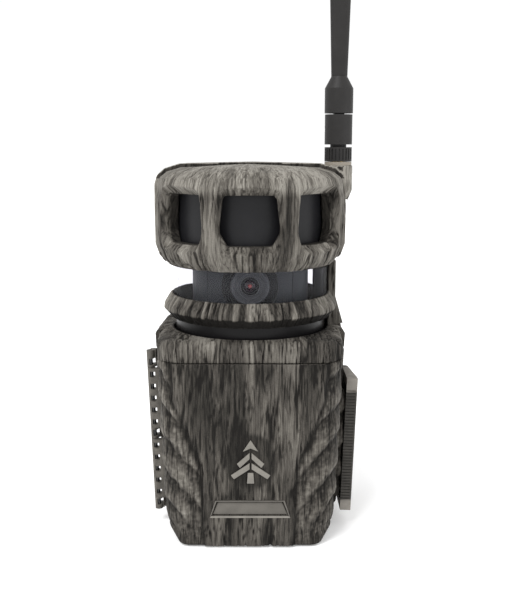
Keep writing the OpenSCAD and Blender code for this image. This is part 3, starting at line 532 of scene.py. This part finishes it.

# The latch is painted dark between its two pale ends: painted shade in its recessed, ribbed finger scoop.
LATCH_LOW, LATCH_HIGH = 8, 76
LATCH_SCOOP_SHADE = [(0.0, grey(1.0)), (0.070, grey(1.0)), (0.085, grey(0.24)),
               (0.890, grey(0.24)), (0.905, grey(1.0)), (1.0, grey(1.0))]


def make_materials():
    """Every material by its key; plastic's numbers are roughness, grain, bump, blotches, specular."""
    return {
        "camo": camo_material(),
        "trim": plastic("trim_grey_brown", (0.105, 0.097, 0.085), 0.66, 2.4, 0.35, 0.30, 0.25),
        "pale": plastic("pale_motif_and_lit_lip", (0.190, 0.178, 0.158), 0.62, 2.4, 0.30, 0.15, 0.25),
        "label": plastic("label_plate", (0.110, 0.102, 0.090), 0.60, 2.4, 0.25, 0.12, 0.25),
        "inner": plastic("inner_dark", (0.018, 0.018, 0.019), 0.60, 3.0, 0.25, 0.18, 0.25),
        "antenna": plastic("antenna_black", (0.016, 0.015, 0.0145), 0.52, 2.0, 0.15, 0.15, 0.26),
        "black": plastic("infrared_black", (0.006, 0.0055, 0.006), 0.30, 1.2, 0.04, 0.1, 0.16),
        "pir": plastic("sensor_lens_black", (0.009, 0.009, 0.0105), 0.42, 1.2, 0.04, 0.1, 0.22),
        "smoke": plastic("turret_blue_grey", (0.033, 0.037, 0.042), 0.50, 1.6, 0.0, 0.08, 0.25),
        "plate": plastic("lens_plate_black", (0.009, 0.010, 0.012), 0.42, 1.6, 0.05, 0.1, 0.25),
        "bezel": by_radius("lens_bezel_grey", BEZEL_R, BEZEL_SHADING_RINGS, 0.36),
        "latch": by_height(plastic("latch_grey_brown", (0.230, 0.213, 0.190), 0.70, 2.4, 0.30, 0.20, 0.25),
                           LATCH_LOW, LATCH_HIGH, LATCH_SCOOP_SHADE),
        "collar": plastic("collar_cream", (0.240, 0.215, 0.180), 0.60, 2.4, 0.25, 0.12, 0.25),
        "dark_steel": metal("blackened_steel", (0.10, 0.10, 0.10), 0.4),
        "rubber": plastic("rubber_black", (0.014, 0.014, 0.014), 0.85, 1.6, 0.2, 0.18, 0.2),
        "acetal": plastic("acetal_natural", (0.62, 0.60, 0.55), 0.42, 1.6, 0.08, 0.05),
        "keys": plastic("key_grey", (0.22, 0.225, 0.235), 0.45, 1.6, 0.08, 0.06),
        "knob": plastic("knob_orange", (0.55, 0.14, 0.03), 0.42, 1.6, 0.08, 0.06),
        "card": plastic("card_blue_black", (0.02, 0.03, 0.07), 0.5, 1.6, 0.08, 0.06),
        "cell": plastic("cell_sleeve", (0.05, 0.10, 0.30), 0.30, 1.0, 0.03, 0.05),
        "flex": plastic("flex_amber", (0.42, 0.22, 0.05), 0.40, 1.0, 0.03, 0.05),
        "steel": metal("bright_steel", (0.62, 0.62, 0.63)),
        "brass": metal("machined_brass", (0.78, 0.58, 0.26), 0.28),
        "clear": clear_material(),
        "board": board_material(),
        "lens": by_radius("coated_lens", LENS_R, LENS_REFLECTION_RINGS, 0.06, 0.6),
        "screen": plastic("screen_glass", (0.010, 0.011, 0.014), 0.10, 0.6, 0.01, 0.05, 0.6),
    }


# The CAD nodes that stay as they are, by the material they wear.
MATERIALS = {
    "trim": ["spine_cover", "strap_bracket"],
    "latch": ["latch"],
    "collar": ["antenna_gasket"],
    "dark_steel": ["hinge_pin", "latch_pin"],
    "inner": ["inner_chassis", "battery_tray", "control_panel", "head_base", "base_deck", "dc_jack"],
    "antenna": ["antenna_nut", "antenna_knuckle", "antenna_whip"],
    "black": ["ir_window"],
    "pir": ["pir_lens"],
    "smoke": ["turret_drum"],
    "plate": ["lens_plate", "lens_barrel"],
    "bezel": ["lens_bezel"],
    "lens": ["lens_glass"],
    "screen": ["screen"],
    "rubber": ["door_gasket", "dome_seals", "port_plug", "antenna_lead"],
    "acetal": ["turret_gear", "pir_carrier"],
    "keys": ["key_up", "key_down", "key_left", "key_right", "key_ok"],
    "knob": ["power_knob"],
    "card": ["sd_card"],
    "cell": ["battery_cells"],
    "flex": ["lens_flex", "spine_cable"],
    "steel": ["turret_motor", "motor_shaft", "pir_sensors", "contact_springs", "screws", "antenna_pin"],
    "brass": ["antenna_connector", "tripod_insert", "motor_pinion"],
    "clear": ["clear_dome"],
    "board": ["led_board", "pir_board", "panel_board", "main_board", "sensor_board"],
}


def assign(obj, mat):
    """Makes mat the only material of obj."""
    obj.data.materials.clear()
    obj.data.materials.append(mat)


def dress_nodes(mats):
    """Gives the shown CAD nodes their materials."""
    for key, names in MATERIALS.items():
        for name in names:
            obj = NODES[name]
            if not obj.material_slots:
                obj.data.materials.append(mats[key])
            for s in obj.material_slots:
                s.material = mats[key]


# ---- Carving the camouflage mouldings ----

def rounded_box_depth(p):
    """Depth in mm of points under the sides of the tapered lower body; its front part is narrower."""
    z = p[:, 2]
    front = p[:, 1] < DOOR_Y
    radius = np.where(front, FRONT_CORNER, REAR_CORNER)
    reach = np.where(front, front_y(z), BODY_REAR)
    drawn = np.clip((DRAW_FROM - p[:, 1]) / DRAW_OVER, 0.0, 1.0)
    narrower = np.where(front, DOOR_STEP + DOOR_DRAW * drawn, 0.0)
    qx = np.abs(p[:, 0]) - (side_x(z) - narrower - radius)
    qy = np.abs(p[:, 1]) - (reach - radius)
    outside = np.hypot(np.maximum(qx, 0.0), np.maximum(qy, 0.0))
    return -(outside + np.minimum(np.maximum(qx, qy), 0.0) - radius)


def door_sculpt(p):
    """Relief, tone and calm of the door: feathered lobes beside its raised middle, and two beds; painted
    light and shade on the lobes, painted shade along the middle's edge and in the name plate's slot.
    """
    x, y, z = p[:, 0], p[:, 1], p[:, 2]
    ax = np.abs(x)
    edge = panel_edge(x, z)
    beside = smooth_step(0.2, 1.6, edge)
    wave = 2.4 * noise(p, 31, (0.07, 0.07, 0.07)) + 1.0 * noise(p, 32, (0.25, 0.25, 0.25))
    lobe_root, lobe_pitch = 22.0, 15.5
    out = ax - lobe_root
    u = (z - 1.45 * out + 0.018 * out ** 2 + wave) / lobe_pitch
    lobe = u - np.floor(u)
    ridge = smooth_step(0.0, 0.25, lobe) * (1.0 - 0.80 * smooth_step(0.30, 1.0, lobe))
    low = smooth_step(8.0, 18.0, z)
    stipple = noise(p, 33, (0.75, 0.75, 0.75)) + 0.8 * noise(p, 34, (0.38, 0.38, 0.38))
    relief = beside * (-0.8 + 1.30 * ridge * low - 0.3 * (1 - low) + 0.10 * stipple)
    # Painted light and shade: the lobes' ridges are lightened as highlight and their hollows darkened as
    # shade.
    tone = beside * (0.42 * (ridge - 0.52) * low + 0.20 * stipple - 0.02)
    groove = np.exp(-((edge / 0.8) ** 2)) * smooth_step(16.0, 26.0, z)
    # Painted shade: a dark line along the foot of the raised middle's edge.
    step = np.exp(-(((edge - 0.6) / 1.1) ** 2))
    relief -= 0.25 * groove
    tone -= 0.30 * step
    off_bed = np.hypot(x - MOTIF_X, (z - MOTIF_Z) * 0.95) - MOTIF_BED_R
    bed = smooth_step(1.5, -1.0, off_bed) * (y < BED_FRONT)
    tone -= 0.20 * bed
    relief -= 0.35 * bed
    calm = 0.55 * bed
    tone -= 0.08 * smooth_step(50.0, 75.0, z) * (1.0 - beside)
    slot = ((np.abs(z - LABEL_Z) < SLOT_HH) & (ax < SLOT_HW) & (y < SLOT_FRONT)).astype(float)
    # Painted shade: the recessed slot round the name plate is darkened.
    tone -= 0.10 * slot
    calm = np.maximum(calm, slot)
    return relief * (1.0 - slot), tone, np.maximum(calm, 0.45 * beside)


def panel_edge(x, z):
    """Distance in mm outside the edge of the door's raised middle, across X."""
    heights = [0.0, 38.0, 46.0, 52.0, 72.0, SEAM_Z]
    right = np.interp(z, heights, [20.5, 21.0, 23.8, 27.5, 34.5, 35.8])
    left = np.interp(z, heights, [21.5, 22.3, 24.6, 27.3, 35.6, 36.5])
    return np.where(x > 0, x - right, -x - left)


def carve(node, body, cell, depth_of, sculpt=None, seed=0, drop=(), amount=1.0, lift=0.0, grain=box_grain):
    """Replaces a CAD moulding with an even mesh of it, whose outer skin carries the bark.

    cell is the mesh's spacing in mm. Points that depth_of puts within 0.5 mm of the skin carry
    all of the relief, and those deeper than 1.4 mm none. sculpt gives relief and tone to add, and
    calm, the share of the bark it takes away. The zones in drop are cut off first.
    """
    obj = copy_of(node, node + "_bark")
    for low, high, side in drop:
        cut(obj, block("cutter", low, high, side_matrix(side)))
    remesh(obj, cell)
    p, n = points_of(obj)
    q = grain(p)
    relief, tone = bark(q, seed)
    skin = smooth_step(1.4, 0.5, depth_of(p, n))
    extra, shift = np.zeros(len(p)), np.zeros(len(p))
    if sculpt is not None:
        extra, shift, calm = sculpt(p)
        relief = relief * (1.0 - calm)
        tone = 0.5 + (tone - 0.5) * (1.0 - calm)
    p = p + n * (skin * (amount * relief + extra))[:, None]
    write_points(obj, p)
    write_tone(obj, 0.34 * (1 - skin) + skin * (tone + shift + lift))
    write_grain(obj, q)
    shade(obj)
    finish_piece(obj, body, "camo", node)


def finish_piece(obj, body, key, node=None):
    """Dresses a piece in the material of that key and hands it to the frame."""
    assign(obj, MATS[key])
    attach(obj, body)
    if node is not None:
        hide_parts(node)


def outward(p, n):
    """How far normals point away from the vertical axis."""
    length = np.maximum(axis_distance(p), 1e-6)
    return (p[:, 0] * n[:, 0] + p[:, 1] * n[:, 1]) / length


def body_skin(p, n):
    """Depths in the lower body: its outer walls, and the underside of its foot."""
    depth = rounded_box_depth(p)
    underside = (p[:, 2] < 1.6) & (n[:, 2] < -0.5)
    return np.where(outward(p, n) > 0.15, depth, np.where(underside, 0.7, BURIED))


# Zones outside a side wall, as (low corner, high corner, side) in that side's own frame.
CLEAR_OF_WALL, ZONE_REACH = 0.12, 12
KNUCKLE_BEVEL = 0.12


def hinge_zone(inner):
    """The zone of the hinge's knuckles, from inner mm outside the wall."""
    return (inner, DOOR_Y - ZONE_REACH, -2), (ZONE_REACH, DOOR_Y + ZONE_REACH, SEAM_Z + 5), LEFT


HOUSING_HINGES = hinge_zone(CLEAR_OF_WALL)
DOOR_HINGES = hinge_zone(0.1 - DOOR_STEP)
LATCH_LUGS = (CLEAR_OF_WALL, 2, 10), (ZONE_REACH, 12, 70), RIGHT


def hardware(node, body, name, zone, bevel=None):
    """What a CAD moulding has in a zone outside its wall, as a crisp and plain piece."""
    low, high, side = zone
    obj = copy_of(node, name)
    cut(obj, block("keep", low, high, side_matrix(side)), "INTERSECT")
    if bevel is not None:
        soften(obj, bevel, 2, 50)
    shade(obj, 35)
    finish_piece(obj, body, "trim")


def prism(name, outlines, place, thick, edge=0.25):
    """Flat pieces of a thickness on the front of the door at height place, with softened edges."""
    sunk = 0.55
    verts, faces = [], []
    for outline in outlines:
        start, count = len(verts), len(outline)
        for depth in (0.0, thick):
            for x, z in outline:
                y = -front_y(place + z) - PANEL_PROUD + sunk - depth
                verts.append((x * MM, y * MM, (place + z) * MM))
        faces.append(tuple(start + i for i in reversed(range(count))))
        faces.append(tuple(start + count + i for i in range(count)))
        for i in range(count):
            j = (i + 1) % count
            faces.append((start + i, start + j, start + count + j, start + count + i))
    obj = new_object(name, verts, faces)
    face_outward(obj)
    soften(obj, edge, 3)
    shade(obj, 40)
    return obj


def motif_outlines():
    """A plain three-tier conifer: two slanting bars to a tier, a crown and a trunk."""
    neck = 0.45
    shapes = [[(-3.6, 5.0), (0.0, 10.6), (3.6, 5.0), (0.0, 6.6)]]
    for top, half, fall in ((4.4, 6.4, 5.4), (-0.6, 9.2, 6.0)):
        for side in (LEFT, RIGHT):
            shapes.append([(side * neck, top), (side * half, top - fall),
                           (side * (half - 1.4), top - fall - 1.9), (side * neck, top - 3.0)])
    shapes.append([(-1.3, -5.4), (1.3, -5.4), (1.7, -10.6), (-1.7, -10.6)])
    return [[(x + MOTIF_X, z) for x, z in shape] for shape in shapes]


def frame_sides(outer, inner):
    """The four mitred sides of a frame between two trapezia, by name."""
    (o0, o1, o2, o3), (i0, i1, i2, i3) = outer, inner
    return {"lower": [o0, o1, i1, i0], "left": [o0, i0, i3, o3],
            "right": [i1, o1, o2, i2], "upper": [i3, i2, o2, o3]}


def trapezium(low_half, low, top_half, top):
    """Corners of a trapezium: lower left, lower right, upper right, upper left."""
    return [(-low_half, low), (low_half, low), (top_half, top), (-top_half, top)]


def make_label():
    """The blank name plate, and the raised frame round its slot."""
    set_back = 1.2
    plate = prism("label_plate", [trapezium(17.6, -3.0, 15.1, 3.1)], LABEL_Z, 1.0, 0.35)
    plate.location.y = set_back * MM
    finish_piece(plate, "door", "label")
    sides = frame_sides(trapezium(19.0, -4.5, 16.3, 4.1), trapezium(18.3, -3.6, 15.7, 3.6))
    for name, side in sides.items():
        lip = prism("label_lip_" + name, [side], LABEL_Z, 0.7, 0.15)
        # Painted light: the lower side of the frame, which faces up, is pale as a lit lip; the other sides
        # wear the plate's colour.
        finish_piece(lip, "door", "pale" if name == "lower" else "label")


def door_skin(p, n):
    """Depths in the door, which shows no skin where it meets the housing."""
    return np.where(p[:, 1] < DOOR_Y - 1.0, body_skin(p, n), BURIED)


def make_door():
    hardware("front_door", "door", "door_knuckles", DOOR_HINGES, KNUCKLE_BEVEL)
    carve("front_door", "door", 0.65, door_skin, door_sculpt, seed=10, drop=[DOOR_HINGES], lift=-0.06)
    finish_piece(prism("tree_motif", motif_outlines(), MOTIF_Z, 0.9), "door", "pale")
    make_label()


def make_rear_housing():
    hardware("rear_housing", "housing", "housing_knuckles", HOUSING_HINGES, KNUCKLE_BEVEL)
    hardware("rear_housing", "housing", "latch_lugs", LATCH_LUGS)
    carve("rear_housing", "housing", 0.72, body_skin, seed=10, drop=[HOUSING_HINGES, LATCH_LUGS])


def shoulder_skin(p, n):
    """Depths in the shoulder: its walls, its sloping top and its spine, but not the turret's well."""
    facing = outward(p, n)
    top = (n[:, 2] > 0.35) & (p[:, 2] > SEAM_Z + 2)
    spine = (p[:, 2] > SHOULDER_Z + 0.5) & (facing > -0.2)
    shown = (axis_distance(p) > BARK_FROM_R + 0.1) & (top | spine)
    return np.where(shown, 0.4, np.where(facing > 0.15, rounded_box_depth(p), BURIED))


def make_shoulder():
    carve("shoulder_frame", "housing", 0.5, shoulder_skin, seed=10, lift=0.02)


def ring_skin(p, n):
    """Depths in the ring, which is all skin but for its bore."""
    return np.where(axis_distance(p) > BARK_FROM_R, AT_SKIN, BURIED)


def ring_sculpt(p):
    """Notches round the ring, and painted shade on its underside."""
    angle = np.arctan2(p[:, 1], p[:, 0])
    wrap_radius, brow_low, brow_high = 40.0, 108.0, 113.0
    q = np.stack([angle * wrap_radius, np.zeros(len(p)), p[:, 2]], axis=1)
    notch = smooth_step(0.05, 0.35, noise(q, 44, (0.42, 1.0, 0.05)))
    upper = smooth_step(brow_low, brow_high, p[:, 2])
    # Painted shade: the underside bevel is darkened because it faces down, away from the light.
    under = smooth_step(brow_low + 1.4, brow_low, p[:, 2])
    return -0.80 * notch * (0.4 + 0.6 * upper), -0.26 * notch - 0.8 * under, np.zeros(len(p))


def make_ring():
    carve("trim_ring", "housing", 0.42, ring_skin, ring_sculpt, seed=12, lift=0.18, grain=round_grain)


# The head: heights where its crown and its under edge are looked for, the heights between which
# its windows lie, and how far from the axis the under edge, the bevels and the wall are.
CROWN_FROM, EDGE_BELOW = 170, 140
WINDOW_LOW, WINDOW_HIGH = 136, 172
EDGE_R, BEVEL_R, WALL_R = 40.5, 41.2, 42.0


def head_skin(p, n):
    """Depths in the head: its top, its wall, its lower edge and the bevels of its windows."""
    z, r = p[:, 2], axis_distance(p)
    top = (z > CROWN_FROM) & (n[:, 2] > 0.2)
    low = (z < EDGE_BELOW) & (n[:, 2] < -0.2) & (r > EDGE_R)
    side = (outward(p, n) > 0.2) & (r > WALL_R)
    bevel = (r > BEVEL_R) & (z > WINDOW_LOW) & (z < WINDOW_HIGH)
    return np.where(top | low | side | bevel, AT_SKIN, BURIED)


def hood_sculpt(p):
    """Relief, tone and calm of the hood: a brow over the side windows, facets under them, painted light on
    its top and painted shade on the sunk brow and facets.
    """
    z = p[:, 2]
    aside = np.abs(np.degrees(np.arctan2(p[:, 0], -p[:, 1])))
    brow_angle, cheek_angle, cheek_slope, cheek_foot = 51.5, 36.0, 1.5, 131.0
    brow = smooth_step(brow_angle, brow_angle + 1.5, aside) * smooth_step(163.0, 167.0, z)
    slant = aside - (cheek_angle + cheek_slope * (z - cheek_foot))
    cheek = smooth_step(0.0, 1.6, slant) * (1.0 - smooth_step(138.0, 143.0, z))
    relief = -0.75 * brow - 0.6 * cheek
    top = smooth_step(164.0, 169.0, z)
    # Painted light: the top is lightened as if lit from above; the sunk brow and cheek facets are darkened
    # as painted shade.
    return relief, 0.26 * top - 0.08 * brow - 0.05 * cheek, 0.30 * top


def rear_sculpt(p):
    """Relief, tone and calm of the rear shell: painted light on the rim at its top."""
    # Painted light: the top rim is lightened as if lit from above.
    return np.zeros(len(p)), 0.25 * smooth_step(168.0, 172.0, p[:, 2]), 0.4 * np.ones(len(p))


def make_head():
    carve("front_hood", "housing", 0.5, head_skin, hood_sculpt, seed=15, lift=0.20, grain=round_grain)
    carve("rear_shell", "housing", 0.55, head_skin, rear_sculpt, seed=16, amount=0.6, lift=0.32,
          grain=round_grain)


# ---- Stage ----

def make_camera():
    """The viewing angle: in front, a little above, looking slightly down."""
    away, height, right, down = 435, 187.25, 2.35, 9.86
    cam = bpy.data.cameras.new("camera")
    cam.sensor_width = 36.0
    cam.sensor_fit = "AUTO"
    cam.lens = 52.8
    obj = link("camera", cam)
    obj.location = (right * MM, -away * MM, height * MM)
    obj.rotation_euler = (math.radians(90 - down), 0, 0)
    bpy.context.scene.camera = obj


def aim(obj, direction):
    """Turns a light to shine along a direction."""
    obj.rotation_euler = Vector(direction).to_track_quat("-Z", "Y").to_euler()


def sun_light(name, direction, spread, power):
    """Parallel light shining along a direction, softened over spread degrees."""
    light = bpy.data.lights.new(name, "SUN")
    light.energy = power
    light.angle = math.radians(spread)
    aim(link(name, light), direction)


def area_light(name, place, target, size, power):
    """A rectangle of light at a place in metres, facing a target."""
    light = bpy.data.lights.new(name, "AREA")
    light.shape = "RECTANGLE"
    light.size, light.size_y = size
    light.energy = power
    obj = link(name, light)
    obj.location = place
    aim(obj, Vector(target) - Vector(place))


def make_floor():
    """A wide floor just under the camera's foot, sizes in metres."""
    floor_z, reach, steps = -0.0005, 6.0, 8
    row = steps + 1
    grid = [(-reach + 2 * reach * i / steps, -reach + 2 * reach * j / steps, floor_z)
            for j in range(row) for i in range(row)]
    starts = [j * row + i for j in range(steps) for i in range(steps)]
    floor = new_object("floor", grid, [(s, s + 1, s + row + 1, s + row) for s in starts])
    mat, tree, bsdf = material("pale_floor")
    paper = noise_node(tree, 0.02, 2.0, 0.5)
    tree.links.new(ramp(tree, paper, [(0.0, grey(0.88)), (1.0, grey(0.90))]), bsdf.inputs["Base Color"])
    bsdf.inputs["Roughness"].default_value = 0.9
    bsdf.inputs["Emission Color"].default_value = (1.0, 1.0, 1.0, 1.0)
    bsdf.inputs["Emission Strength"].default_value = 0.20
    assign(floor, mat)


def make_studio():
    """White surroundings, a soft key from the front left and a weak fill from the right."""
    world = bpy.data.worlds.new("studio")
    world.use_nodes = True
    background = world.node_tree.nodes["Background"]
    background.inputs["Color"].default_value = (1.0, 1.0, 1.0, 1.0)
    background.inputs["Strength"].default_value = 1.02
    bpy.context.scene.world = world
    sun_light("key", (0.42, 0.62, -0.95), 24, 2.0)
    area_light("fill", (0.75, -0.45, 0.40), (0, 0, 0.11), (0.4, 0.7), 1.0)
    view = bpy.context.scene.view_settings
    view.view_transform = "Standard"
    view.exposure = 0.0


make_camera()
MATS = make_materials()
dress_nodes(MATS)
make_door()
make_rear_housing()
make_shoulder()
make_ring()
make_head()
make_floor()
make_studio()
